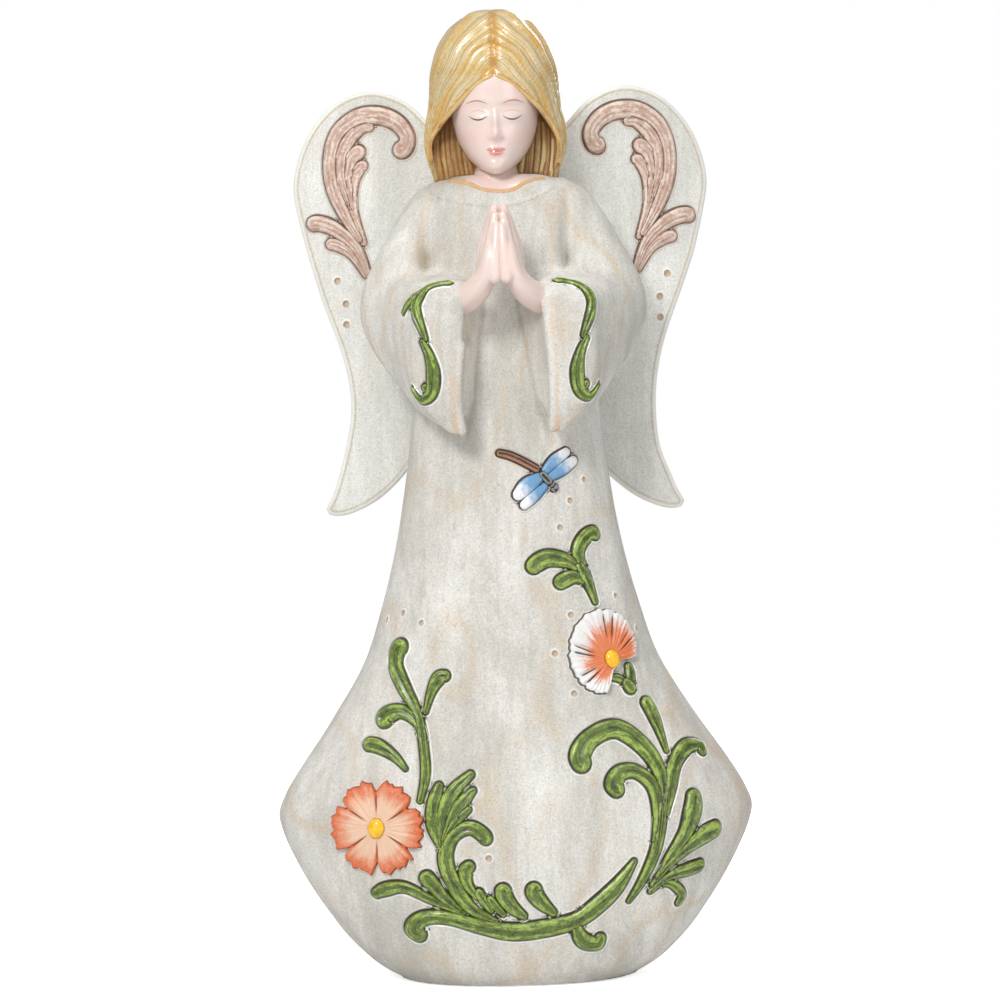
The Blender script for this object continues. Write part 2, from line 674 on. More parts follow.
robeForm = {
    "sides": 150, "ringStep": 1.8, "roundness": 2.3,
    "outline": (  # height, half width, depth in front and behind
        (0, 49.5, 36, 33), (4, 57, 40, 36), (13, 68, 44, 39), (30, 81.6, 47, 41.5),
        (50, 93.5, 48, 42), (62, 98.6, 47.5, 42), (69, 100, 47, 41.5), (77, 97, 46, 41),
        (89, 89.7, 43.5, 39), (106, 78, 40, 36), (131, 62.6, 36, 32.5), (157, 53.9, 33, 30),
        (190, 45.9, 30.5, 28), (224, 41, 28.5, 26), (260, 38, 28, 25), (290, 35, 27.5, 24),
        (312, 33, 26, 22), (325, 31, 23, 20), (331, 28, 20, 18), (335, 21, 15, 15),
    ),
}
sleeveForm = {
    "sides": 64, "ringStep": 1.5,
    "outline": (  # height, upper arm's x, y and radius, cuff's front corner x, y and spread
        (334.5, 23, 1, 4, 20, -4, 0.3), (330.5, 24, 1, 10.5, 20, -9, 0.5),
        (321, 28, 0, 14.2, 21.5, -11.5, 0.65), (306, 34.5, -0.5, 16.4, 25, -12.5, 0.7),
        (297, 38.6, -2, 17.2, 25, -14, 0.7), (292, 41, -2.5, 17.1, 22, -24, 0.74),
        (288.5, 42.3, -3, 17, 20.6, -36, 0.86), (284.5, 43.2, -3.9, 16.9, 20.3, -43.5, 0.97),
        (274, 43.2, -6.5, 16.6, 21, -46.5, 1),
        (261, 38.5, -11.5, 15.4, 21.8, -46.5, 1), (248, 31.5, -21, 13.2, 22.2, -45.5, 0.92),
        (236, 27, -30, 8.5, 22, -44, 0.6), (226.5, 20, -38, 2.5, 19.5, -41, 0.1),
    ),
    "corners": ((0, 0, 5), (11, 5, 6), (-9, 15, 5)),
    "opening": {  # height, edge of the cuff, and where its inner face meets the robe, from X = 0
        -1: ((222, 17, 16.5), (226, 17.6, 16), (232.6, 18.9, 14.8), (239, 19.5, 13.4),
             (253.5, 18.6, 12), (264, 17.4, 10.8), (276.5, 16, 8.6), (283.4, 15, 8),
             (287.5, 13.5, 7.5), (292, 12, 7)),
        1: ((222, 18, 17.4), (226.8, 18.2, 17), (230, 18.6, 16), (238, 19, 13.4),
            (252.4, 18.8, 10.8), (266.6, 17.8, 8.4), (278.5, 16.6, 6.2), (286, 14.6, 5.6),
            (292, 12.5, 5)),
    },
    "openingFront": -66, "wallBack": -27.5, "wallBulge": 1.6,
    "forearm": ((43, -6, 267.5, 13.5), (35, -22, 273.5, 11.3), (28, -34, 277.5, 9.6),
                (21, -42, 281, 8)),
    "rimRadius": 2.1,
}


def robeRings():
    heights = np.arange(0, 335, robeForm["ringStep"]).tolist() + [335]
    sides = robeForm["sides"]
    angles = 2 * math.pi * np.arange(sides) / sides
    points = []
    for z, (halfWidth, front, back) in zip(heights, tableAt(robeForm["outline"], heights)):
        x, y = squaredOval(angles, halfWidth, front, back, robeForm["roundness"])
        points += list(zip(x, y, np.full(sides, z)))
    return makePiece("robe", points, ringFaces(len(heights), sides))


def sleeveSection(z, sides):
    armX, armY, armR, x, y, spread = tableAt(sleeveForm["outline"], z)[0]
    tight = 0.4 + 0.6 * spread
    circles = [(armX, armY, armR)]
    for across, back, radius in sleeveForm["corners"]:
        circles.append((x + across * spread, y + back * spread, radius * tight))
    circles = np.array(circles)
    angles = 2 * math.pi * np.arange(sides) / sides
    out = np.stack((np.cos(angles), np.sin(angles)), axis=1)
    reach = out @ circles[:, :2].T + circles[:, 2]
    chosen = circles[reach.argmax(axis=1)]
    return chosen[:, :2] + out * chosen[:, 2:]


def sleeveFront(x, z):  # the sleeve's own front where X is positive
    ring = sleeveSection(z, 96)
    following = np.roll(ring, -1, axis=0)
    crossing = (ring[:, 0] - x) * (following[:, 0] - x) <= 0
    return ring[crossing, 1].min() if crossing.any() else ring[:, 1].min()


def makeSleeve(side):
    heights = np.arange(226.5, 334.5, sleeveForm["ringStep"]).tolist() + [334.5]
    points = []
    for z in heights:
        ring = sleeveSection(z, sleeveForm["sides"])
        points += [(side * x, y, z) for x, y in ring]
    sleeve = makePiece("sleeve", points, ringFaces(len(heights), sleeveForm["sides"]))
    forearm = smoothCurve(sleeveForm["forearm"], 6)
    path = forearm[:, :3] * (side, 1, 1)
    arm = makeTube("forearm", path, forearm[:, 3], 32)
    return sleeve, arm


def openingCutter(side):  # what is open in a cuff, from its front edge back to the robe
    points = []
    heights = np.arange(222, 292.1, 1.75)
    for z, (edge, meet) in zip(heights, tableAt(sleeveForm["opening"][side], heights)):
        front = sleeveFront(edge, z) + 1
        back = max(front + 4, sleeveForm["wallBack"])
        share = np.linspace(0, 1, 12)
        wallX = edge + (meet - edge) * share + sleeveForm["wallBulge"] * np.sin(math.pi * share)
        wallY = front + (back - front) * share
        ring = [(edge, sleeveForm["openingFront"], z)]
        ring += list(zip(wallX, wallY, np.full(12, z)))
        ring += [(-6, back, z), (-6, sleeveForm["openingFront"], z)]
        points += [(side * x, y, height) for x, y, height in ring]
    return makePiece("cuffOpening", points, ringFaces(len(heights), 15))


def cuffEdge(side):  # the front edge of the opening of a cuff
    heights = np.arange(225.5, 290.1, 1.5)
    rows = tableAt(sleeveForm["opening"][side], heights)
    return np.array([(side * (edge + 0.5), sleeveFront(edge, z) + 0.7, z)
                     for z, (edge, _) in zip(heights, rows)])


def meetingLine(side):  # where the inner face of a cuff meets the robe
    heights = np.arange(226, 286, 1.5)
    rows = tableAt(sleeveForm["opening"][side], heights)
    return np.array([(side * meet, sleeveForm["wallBack"], z) for z, (_, meet) in zip(heights, rows)])


sculptForm = {  # soft hollows (+) and swells (-) pressed into the front: x, z, half sizes, depth
    "dents": ((-32, 296, 2.5, 12, 5.0), (27, 298, 2.3, 12, 5.2), (-27, 293, 2.6, 9, -1.5),
              (32, 296, 2.8, 9, -1.4), (22, 297, 2.6, 9, -1.0), (-36.5, 297, 2.6, 9, -0.9),
              (-34, 309, 5, 8, 0.8), (30.5, 310, 5, 8, 0.9)),
    "ripple": 0.3, "narrow": 0.996, "wornFrom": 0.78, "wornTo": 0.96,
}


def softNoise(places, size, stretch, seed):
    return np.array([noiseAt(Vector((x / size + seed, y / size, z / (size * stretch))))
                     for x, y, z in places])


def makeBody():
    forms = [robeRings()]
    edges = []
    for side in (-1, 1):
        for form in makeSleeve(side):
            combine(form, [openingCutter(side)], "DIFFERENCE")
            forms.append(form)
        path = cuffEdge(side)
        edges.append(path)
        forms.append(makeTube("cuffRim", path, sleeveForm["rimRadius"], 16))
    body = joinPieces(forms, "body")

    def softZone(places):  # chest, shoulders and upper arms, but not the cuffs
        high = np.clip((places[:, 2] - 286) / 6, 0, 1)
        behind = np.clip((places[:, 1] + 38) / 8, 0, 1)
        return np.clip(high * behind, 0, 1)

    softenBySculpting(body, {"voxel": 1.2, "rounds": 2, "softZone": softZone, "softRounds": 12,
                             "keep": 0.27})
    places, normals = placesOf(body), normalsOf(body)
    facing = np.clip(-normals[:, 1] * 1.5, 0, 1)
    for x, z, wide, high, depth in sculptForm["dents"]:
        away = ((places[:, 0] - x) / wide) ** 2 + ((places[:, 2] - z) / high) ** 2
        places[:, 1] += depth * np.exp(-away) * facing
    ridged = 1 - 2 * np.abs(softNoise(places, 30, 2.2, 3.7))
    free = np.clip((places[:, 2] - 6) / 12, 0, 1)
    places += normals * (ridged * sculptForm["ripple"] * free)[:, None]
    places[:, 0] *= sculptForm["narrow"]
    places[places[:, 2] < 0.5, 2] = 0
    putPlaces(body, places)
    worn = (ridged - sculptForm["wornFrom"]) / (sculptForm["wornTo"] - sculptForm["wornFrom"])
    trim, crease = np.zeros(len(places)), np.zeros(len(places))
    for side, path in zip((-1, 1), edges):
        outer = path + (side * 1.5, -0.8, 0)
        trim = np.maximum(trim, np.clip(1.5 - distanceTo(places, outer) / 1.3, 0, 1))
        crease = np.maximum(crease, np.clip(1.2 - distanceTo(places, meetingLine(side)) / 1.6, 0, 1))
    setMark(body, "trim", trim)
    setMark(body, "worn", np.clip(worn, 0, 1) ** 1.5)
    setMark(body, "hollow", np.maximum(crease * 0.8, hollowness(body)))
    body.data.materials.append(robePaint)
    return body


body = makeBody()
bodyTree = treeFor(placesOf(body), body.data.polygons)
print("robe and sleeves:", len(body.data.polygons), "faces")


def bodyFront(x, z):
    return frontOf(bodyTree, x, z) or 0.0


handForm = {
    "middle": -1, "voxel": 0.62, "rounds": 3, "keep": 0.42,
    "palm": (  # x, y, z, half thickness and half breadth, from the sleeve to the knuckles
        (27, -29, 279, 5.8, 6), (20, -36.5, 279.6, 6, 6.2), (14, -43.5, 281.2, 6, 6.6),
        (8.8, -49, 285, 5.3, 7.4), (5.5, -51, 291, 4.4, 8.4), (4.2, -51.5, 297, 4, 8),
        (3.4, -51.8, 302, 3.2, 6.5),
    ),
    "fingers": (  # heel, knuckle and tip places, radius at each
        ((2.6, -57.6, 285.5), (1.6, -57.4, 300), (0.9, -56.4, 310.6), 3.1, 2.2, 1.6),
        ((4.6, -55, 287), (3.9, -55, 300), (1.2, -54.8, 315.4), 3.2, 2.3, 1.8),
        ((6.3, -51.5, 288), (5.8, -51.4, 300), (1.3, -52.2, 318.6), 3.1, 2.4, 1.9),
        ((7.0, -47, 288), (7.1, -47.2, 300), (2.4, -49, 315.8), 3.0, 2.4, 1.9),
    ),
    "thumb": ((6.5, -43.5, 284), (4.5, -43.5, 295), (2.6, -44.5, 304), 3.2, 2.6, 2.1),
}


def makeHand(side):
    forms = []
    palm = smoothCurve(handForm["palm"], 5)
    path = palm[:, :3]
    ahead = np.gradient(path, axis=0)
    ahead /= np.linalg.norm(ahead, axis=1)[:, None]
    points = []
    for place, onward, thick, broad in zip(path, ahead, palm[:, 3], palm[:, 4]):
        fore = np.array((0.0, -1.0, 0.0))
        fore = fore - onward * fore.dot(onward)
        fore /= np.linalg.norm(fore)
        outward = np.cross(fore, onward)
        for k in range(24):
            angle = 2 * math.pi * k / 24
            points.append(place + outward * thick * math.cos(angle)
                          + fore * broad * math.sin(angle))
    forms.append(makePiece("palm", points, ringFaces(len(path), 24)))
    for heel, knuckle, tip, wide, middle, narrow in (*handForm["fingers"], handForm["thumb"]):
        rows = smoothCurve([(*heel, wide), (*knuckle, middle), (*tip, narrow)], 12)
        forms.append(makeTube("finger", rows[:, :3], rows[:, 3], 18))
    hand = joinPieces(forms, "hand")
    places = placesOf(hand)
    places[:, 0] = handForm["middle"] + side * np.maximum(places[:, 0], -0.7)
    putPlaces(hand, places)
    if side < 0:
        hand.data.flip_normals()
    return softenBySculpting(hand, handForm)


hands = []
for side in (-1, 1):
    hand = makeHand(side)
    places = placesOf(hand)
    tips = np.clip((places[:, 2] - 306) / 10, 0, 1) * 0.5  # pinker at the finger tips and wrists
    heel = np.clip((284 - places[:, 2]) / 8, 0, 1) * 0.25
    setMark(hand, "hollow", tips + heel)
    setMark(hand, "faceUp", np.full(len(places), -50.0))
    hand.data.materials.append(skinPaint)
    hands.append(hand)
print("hands:", sum(len(h.data.polygons) for h in hands), "faces")


headForm = {
    "foot": (-1.5, -4.5, 337), "height": 58, "bow": math.radians(10), "sides": 88,
    "outline": (  # share of the way up, half width, depth in front and behind
        (0, 3.5, 17, 8), (0.03, 7, 20.2, 6), (0.08, 10.4, 21.6, 4), (0.16, 13.8, 22, 3),
        (0.27, 16.6, 22, 8), (0.4, 18.2, 22, 14), (0.52, 18.7, 22, 18), (0.68, 18.2, 21, 19),
        (0.82, 15.6, 17, 17), (0.93, 10, 10, 11), (1, 3, 3, 3),
    ),
    "relief": (  # across, up, half width, half height and rise, mirrored where across isn't 0
        (7.2, 23.9, 4.0, 2.3, 1.15), (6.6, 27.4, 5.2, 2.4, -1.2), (7.6, 30.6, 6.0, 1.8, 0.5),
        (0, 21.0, 1.7, 6.0, 2.0), (0, 16.4, 2.0, 1.9, 2.4), (2.1, 15.4, 1.1, 1.0, 0.9),
        (0, 12.8, 0.8, 1.1, -0.35), (1.4, 10.8, 1.6, 0.8, 0.75), (0, 8.9, 2.6, 0.9, 1.0),
        (0, 9.8, 3.8, 0.35, -0.5), (0, 6.7, 3.2, 1.0, -0.6), (0, 3.0, 4.0, 2.4, 1.0),
        (9.3, 16.5, 5.2, 5.0, 1.0),
    ),
}
neckForm = ((322, 14.5, 22.6, 8), (327, 14, 22.4, 8), (332, 12.4, 19.5, 8), (338, 9.6, 15.5, 9),
            (348, 8.8, 13, 12))


def headPlace(x, y, up):  # a point of the upright head, once the head is bowed on its neck
    cosine, sine = math.cos(headForm["bow"]), math.sin(headForm["bow"])
    fx, fy, fz = headForm["foot"]
    return fx + x, fy + y * cosine - up * sine, fz + up * cosine + y * sine


def faceRise(x, up):
    rise = np.zeros(len(x))
    for across, level, halfWidth, halfHeight, most in headForm["relief"]:
        for side in ((-1, 1) if across else (1,)):
            away = ((x - side * across) / halfWidth) ** 2 + ((up - level) / halfHeight) ** 2
            rise += most * np.exp(-away)
    return rise


def makeHead():
    ups = np.concatenate((np.linspace(0, 42, 72), np.linspace(44, headForm["height"], 14)))
    sides = headForm["sides"]
    t = 2 * np.arange(sides) / sides - 1
    angles = math.pi * np.sign(t) * np.abs(t) ** 1.55
    points, across, level, front = [], [], [], []
    for up in ups:
        halfWidth, ahead, back = tableAt(headForm["outline"], up / headForm["height"])[0]
        x, y = squaredOval(angles, halfWidth, ahead, back, 2.1)
        facing = np.clip(np.cos(angles) * 3, 0, 1)
        y = y - faceRise(x, np.full(sides, up)) * facing
        points += [headPlace(a, b, up) for a, b in zip(x, y)]
        across += list(x)
        level += [up] * sides
        front += list(facing)
    return makePiece("head", points, ringFaces(len(ups), sides), skinPaint,
                     {"faceAcross": across, "faceUp": level, "faceFront": front})


def makeNeck():
    heights = np.arange(322, 348.1, 1)
    angles = 2 * math.pi * np.arange(48) / 48
    points = []
    for z, (across, front, back) in zip(heights, tableAt(neckForm, heights)):
        x, y = squaredOval(angles, across, front, back, 2)
        points += list(zip(headForm["foot"][0] + x, y, np.full(48, z)))
    low = np.full(len(points), -50.0)
    return makePiece("neck", points, ringFaces(len(heights), 48), skinPaint, {"faceUp": low})


head = makeHead()
neck = makeNeck()
print("head and neck ready")


hairForm = {
    "sides": 150, "rings": 92, "roundness": 2.15,
    "outline": (  # height, half width, depth in front and behind
        (334, 24.8, 17, 18), (338, 26, 19.5, 20), (343, 28, 21.5, 22), (349, 29.2, 24.5, 22.5),
        (357, 28.8, 28, 23), (365, 27.2, 30.5, 22), (372, 26.6, 32, 21), (380, 26, 32, 19.5),
        (388, 23.8, 29.5, 17.5), (395, 20, 25, 15), (400, 15.8, 19.5, 12), (404, 9, 11.5, 8),
        (406, 1, 1, 1),
    ),
    "middleX": -1.6, "middleY": 0.5, "bow": math.radians(1.5),
    "opening": {
        -1: ((0, 374), (6.5, 370.5), (12.7, 365), (18, 360), (22, 355.8), (25.1, 352), (26.9, 347.5),
             (26.6, 342), (25, 337), (23.4, 331)),
        1: ((0, 374), (6.5, 370.5), (12.5, 366), (18, 360.8), (22, 356), (25, 350.5), (25.8, 346),
            (25.2, 341), (24.4, 336), (23.4, 331)),
    },
    "openingEnds": ((-60, 1.12), (-6.5, 0.98)),
    "lockWave": 0.75, "lockPeriod": 9, "strandDepth": 0.95,
    "partingWidth": 1.6, "partingDepth": 1.2, "lipRadius": 1.15,
    "hang": 32.2, "hangFrom": 40, "hangTurns": (math.radians(65), math.radians(110)),
}
strandEdges = np.cumsum(draws.uniform(1.7, 4.4, 90)) - 120  # where grooves between strands lie
strandDepths = draws.uniform(0.35, 1.0, 90)


def strandAt(flow):  # 0 in a groove between two strands, 1 on top of a strand
    i = np.clip(np.searchsorted(strandEdges, flow) - 1, 0, len(strandEdges) - 2)
    t = (flow - strandEdges[i]) / (strandEdges[i + 1] - strandEdges[i])
    depth = np.where(t < 0.5, strandDepths[i], strandDepths[i + 1])
    return 1 - depth * np.abs(2 * t - 1) ** 3.5


def hairFlow(x, y, z):
    inwards = np.abs(x - hairForm["middleX"])
    front = 1 / (1 + np.exp((y + 4) / 6))
    wander = 0.9 * np.sin(0.16 * z + 0.1 * x) + 0.6 * np.sin(0.31 * z - 0.2 * inwards + 1)
    flow = (z - drawing["height"]) * (0.2 + 0.8 * front) + 0.5 * inwards + 0.027 * inwards**2
    return flow + wander * (0.4 + 0.6 * front) + 0.6 * np.sign(x - hairForm["middleX"])


def makeHair():
    top, low = drawing["height"], hairForm["outline"][0][0]
    share = np.linspace(0, 1, hairForm["rings"])
    heights = low + (top - low) * (1 - (1 - share) ** 1.35)
    sides = hairForm["sides"]
    angles = 2 * math.pi * np.arange(sides) / sides
    turned = np.minimum(angles, 2 * math.pi - angles)  # how far round from the front
    start, end = hairForm["hangTurns"]  # from here on back the locks hang straight from the crown
    points, ridges, runs = [], [], []
    for z, (halfWidth, front, back) in zip(heights, tableAt(hairForm["outline"], heights)):
        x, y = squaredOval(angles, halfWidth, front, back, hairForm["roundness"])
        middleY = hairForm["middleY"] - (z - low) * math.sin(hairForm["bow"])
        flow = hairFlow(hairForm["middleX"] + x, middleY + y, z)
        behind = np.clip((turned - start) / (end - start), 0, 1)
        behind = behind**2 * (3 - 2 * behind)
        flow = flow * (1 - behind) + (hairForm["hang"] * turned - hairForm["hangFrom"]) * behind
        strand = (strandAt(flow - 0.5) + strandAt(flow) + strandAt(flow + 0.5)) / 3
        wave = hairForm["lockWave"] * np.sin(flow * 2 * math.pi / hairForm["lockPeriod"])
        fade = min(1, halfWidth / 12)
        rise = (wave + hairForm["strandDepth"] * (strand - 0.7)) * fade
        parting = np.exp(-((x / hairForm["partingWidth"]) ** 2)) * np.clip(np.cos(angles), 0, 1)
        rise = rise - parting * hairForm["partingDepth"]
        scale = 1 + rise / np.hypot(x, y)
        points += list(zip(hairForm["middleX"] + x * scale, middleY + y * scale, np.full(sides, z)))
        ridges += list(np.clip(strand - 0.5 * parting, 0, 1))
        runs += list(flow)
    return makePiece("hair", points, ringFaces(len(heights), sides), hairPaint,
                     {"ridge": ridges, "run": runs})


def hairOpening():
    right = smoothCurve(hairForm["opening"][1], 6)
    left = smoothCurve(hairForm["opening"][-1], 6)
    outline = [(x, z) for x, z in right] + [(-x, z) for x, z in left[:0:-1]]
    points = [
        (hairForm["middleX"] + x * flare, y, z)
        for y, flare in hairForm["openingEnds"] for x, z in outline
    ]
    ridge = np.full(len(points), 0.6)
    return makePiece("hairOpening", points, ringFaces(2, len(outline)), innerHairPaint,
                     {"ridge": ridge, "run": [p[0] * 1.5 for p in points]})


def makeHairEdge(hair):  # the rounded lip of the hair around the face
    tree = treeFor(placesOf(hair), hair.data.polygons)
    lips = []
    for side in (-1, 1):
        outline = smoothCurve(hairForm["opening"][side], 8)[:-8]
        path = []
        for x, z in outline:
            at = hairForm["middleX"] + side * x * 1.04
            y = frontOf(tree, at, z)
            if y is not None and (not path or abs(y - path[-1][1]) < 4):
                path.append((at, y + 0.9, z))
        path = evened(np.array(path), 3)
        lips.append(makeTube("hairLip", path, hairForm["lipRadius"], 12, hairPaint,
                             {"ridge": 0.8, "trim": 0.45, "run": 12.0 * side}))
    return lips


def innerStrands():  # the locks that hang behind the cheeks
    strands = []
    for side in (-1, 1):
        for k in range(8):
            foot = 9.5 + 2.1 * k
            head = 12.5 + 1.9 * k
            radius = float(draws.uniform(1.25, 1.75))
            lean = float(draws.uniform(-0.5, 0.5))
            z = np.linspace(332, 366, 16)
            share = (z - 332) / 34
            swell = 2.0 * np.sin(math.pi * np.clip(share * 1.2, 0, 1)) * (0.3 + 0.07 * k)
            x = np.minimum(foot + (head - foot) * share + swell + lean * np.sin(share * 4), 25.5)
            y = -6.2 + 0.5 * np.sin(share * 3 + k)
            path = np.stack((hairForm["middleX"] + side * x, y, z), axis=1)
            strands.append(makeTube("innerLock", path, radius, 9, innerHairPaint,
                                    {"ridge": 0.8, "run": 3.7 * k + side}))
    return strands


hair = makeHair()
lips = makeHairEdge(hair)
hair = combine(hair, [hairOpening()], "DIFFERENCE")
strands = innerStrands()
print("hair:", len(hair.data.polygons), "faces")


wingForm = {
    "lean": ((193, 2), (207, 2.4), (218, 3.5), (238, 1.8), (285, 1.5), (305, 0)),
    "thickness": 8, "sweep": math.radians(16), "rootY": 13, "edge": 1.8, "points": 150,
    "outline": (
        (13, 333), (20, 350), (29.5, 361), (40, 371.5), (55, 377), (71, 372.5), (83.5, 359),
        (90, 340), (88, 322), (79.5, 290), (70, 262), (67, 243), (69, 226), (75, 205),
        (79, 196), (73, 193.5), (62, 197), (52, 203.5), (42, 214), (28, 235), (12, 262), (10, 300),
    ),
}


def wingFront(x, z):
    return wingForm["rootY"] + math.tan(wingForm["sweep"]) * abs(x) - wingForm["thickness"] / 2


def leanIn(z):  # the left wing hangs a little closer in
    return tableAt(wingForm["lean"], z)[0][0]


def makeWing(side):
    dense = smoothCurve(wingForm["outline"], 12, closed=True)
    dense = np.vstack((dense, dense[:1]))
    count = wingForm["points"]
    rim = alongCurve(dense, np.arange(count) * lengthsAlong(dense)[-1] / count)
    ahead = np.roll(rim, -1, axis=0) - np.roll(rim, 1, axis=0)
    ahead /= np.linalg.norm(ahead, axis=1)[:, None]
    inward = np.stack((ahead[:, 1], -ahead[:, 0]), axis=1)
    if ((rim.mean(axis=0) - rim) * inward).sum() < 0:
        inward = -inward
    half, edge = wingForm["thickness"] / 2, wingForm["edge"]
    rows = [(edge + 1.3, -half, 0, 0), (edge + 0.75, -half, 0, 0), (edge + 0.35, -half, 1, 0)]
    for turn in (-90, -65, -40, -15, 15, 40, 65, 90):
        inset = edge * (1 - math.cos(math.radians(turn)))
        depth = (half - edge) * np.sign(turn) + edge * math.sin(math.radians(turn))
        rows.append((inset, depth, 0.5 if turn == -90 else 0, 0.8 if abs(turn) < 80 else 0.2))
    points, trims, pales = [], [], []
    for inset, depth, trim, pale in rows:
        for (x, z), (ix, iz) in zip(rim, inward):
            px, pz = x + ix * inset, z + iz * inset
            if side > 0:
                px -= leanIn(pz)
            middle = wingForm["rootY"] + math.tan(wingForm["sweep"]) * abs(px)
            points.append((side * px, middle + depth, pz))
            trims.append(trim)
            pales.append(pale)
    return makePiece("wing", points, ringFaces(len(rows), count), wingPaint,
                     {"trim": trims, "hollow": pales})


wings = [makeWing(side) for side in (-1, 1)]


leafStrokes = {  # across, up and width at each place along a leaf or stem
    "bigScroll": ((60.5, 73, 3), (59.5, 84.5, 5.5), (53.5, 95.5, 7), (42, 104, 7.5),
                  (31.5, 101, 7.5), (26.5, 94, 8.5), (28.5, 88, 6.5)),
    "smallScroll": ((56.5, 57, 3.5), (58, 70, 5), (56, 80.5, 5.5), (49.5, 86.5, 5.5),
                    (43, 86.5, 6.5), (40, 82, 7.5), (42.5, 78, 5)),
    "mainStem": ((44.5, 34, 1.5), (51, 43.5, 3.5), (56.5, 55.5, 4.5), (59, 69, 5), (61, 81, 3.5)),
    "branch": ((60, 68, 3.5), (63, 79.5, 5.5), (65.5, 89, 6), (70.5, 95, 6.5), (76, 95, 6),
               (78, 91.5, 4)),
    "highLeaf": ((55.5, 41.5, 2), (61.5, 51, 3.5), (68.5, 60.5, 6), (72, 69.5, 8), (73, 78, 6)),
    "middleLeaf": ((54, 40, 2), (61.5, 48.5, 3.5), (70, 55.5, 5.5), (78.5, 60.5, 7.5),
                   (84, 62.5, 6)),
    "lowLeaf": ((53, 37.5, 2), (61.5, 43.5, 3.5), (70, 46, 5.5), (77, 47.5, 5.5)),
    "curl": ((58, 41.5, 2), (63.5, 40, 3.5), (67, 35.5, 4), (65, 31, 3.5)),
    "stalk": ((53.5, 116, 5.5), (57, 109.5, 5.5), (60, 101.5, 3.5), (62.5, 93.5, 1.5)),
    "bulb": ((45.6, 123.6, 4), (50, 117.8, 6.3)),
    "highSepal": ((48.4, 119.6, 3.2), (48.3, 125.5, 4.5), (47.5, 130, 3)),
    "lowSepal": ((47, 122.2, 2.6), (43.5, 124.3, 3), (40, 125, 2.2)),
    "topFoot": ((35, 155, 2), (33, 161, 3.5), (30, 168, 5.5), (27.5, 172, 4)),
    "topLong": ((30, 168.5, 3), (23.5, 173, 5.5), (16, 174.5, 7), (11, 172.5, 7), (8, 169.5, 5)),
    "topHigh": ((30.5, 167.5, 3.5), (28, 176, 5.5), (30.5, 182, 6), (34.5, 184.5, 5.5), (36, 182, 4)),
    "topLow": ((33, 163.5, 2.5), (26.5, 166.5, 5.5), (21.5, 165, 6), (19, 163, 4.5)),
    "ground": ((-38.5, 21.5, 5.5), (-42.5, 25.5, 8), (-38, 30, 6), (-28, 30, 5.5), (-15.5, 26.5, 6),
               (-3, 24, 7), (10.5, 25, 7), (23.5, 28, 6.5), (33, 34.5, 7), (40.5, 41.5, 6),
               (48, 51.5, 2)),
    "leftLobe": ((3, 29.5, 2.5), (-3, 34.5, 5.5), (-6, 40, 6.5), (-4.5, 42.5, 5)),
    "rightLobe": ((15, 30.5, 2.5), (9.5, 35.5, 5.5), (6.5, 40, 6.5), (7.5, 43, 5)),
    "outerKnob": ((-14.5, 36.5, 2), (-20, 43, 4), (-21, 49, 5.5), (-18, 52, 4)),
    "middleKnob": ((-10.5, 32, 2), (-15, 38.5, 4), (-16, 41.5, 3)),
    "innerKnob": ((-5.5, 30.5, 2), (-10, 35.5, 3.5), (-12, 38.5, 3)),
    "groundScroll": ((-8.5, 28, 2), (-19, 34, 5), (-26, 44, 6), (-29, 54.5, 6), (-26, 63, 5.5),
                     (-19, 66.5, 5.5), (-13, 63, 5.5), (-12.5, 60, 4)),
    "trumpet": ((-23, 32.5, 2), (-29.5, 38, 4.5), (-35, 44.5, 6), (-39, 48.5, 6.5)),
    "farLeaf": ((-21.5, 31.5, 2), (-35, 37.5, 3.5), (-46, 42.5, 4.5), (-54, 41.5, 5.5),
                (-59, 39, 3.5)),
    "groundCurl": ((26, 32.5, 2.5), (23.5, 25.5, 4), (26, 19.5, 6.5), (31.5, 18, 6),
                   (33.5, 21.5, 3.5)),
    "vineStem": ((-39, 76.5, 2), (-36.5, 87.5, 3.5), (-37, 99.5, 3.5), (-39, 111.5, 3.5),
                 (-44.5, 122.5, 5.5), (-48, 131.5, 6.5), (-46.5, 138.5, 7.5), (-43, 138.5, 6)),
    "vineBranch": ((-36.5, 101.5, 2), (-40, 109, 3.5), (-46, 113, 5.5), (-52, 111, 8), (-53, 107, 6)),
    "vineLeaf": ((-36, 112, 1.5), (-33.5, 120.5, 3.5), (-30, 126.5, 5.5), (-26, 127.5, 3.5)),
    "bud": ((-62, 100, 5.5), (-55.5, 99, 5.5), (-49, 95, 3.5), (-44, 89.5, 1.5)),
    "outerTooth": ((-30.5, 58, 2), (-33.5, 67.5, 5.5), (-33, 77, 5.5), (-30.5, 84.5, 3)),
    "longTooth": ((-30.5, 59, 2), (-29.5, 71.5, 7), (-25, 81, 5.5), (-17, 88.5, 3)),
    "middleTooth": ((-30, 61, 2), (-25, 72, 5.5), (-20, 78.5, 4.5), (-16.5, 82, 2.5)),
    "innerTooth": ((-29.5, 61.5, 2), (-24.5, 69, 4), (-18.5, 74.5, 2.5)),
}
insectStrokes = {
    "tail": {"tail": ((13, 210.5, 2.8), (8, 213.5, 2.8), (1.5, 216.8, 2.8), (-4.3, 218.4, 2.4))},
    "thorax": {"thorax": ((13.5, 209.8, 2.8), (16, 207, 3.2), (17.6, 205, 3)),
               "head": ((18.4, 203.9, 3.5), (19.6, 202.6, 3.4))},
}
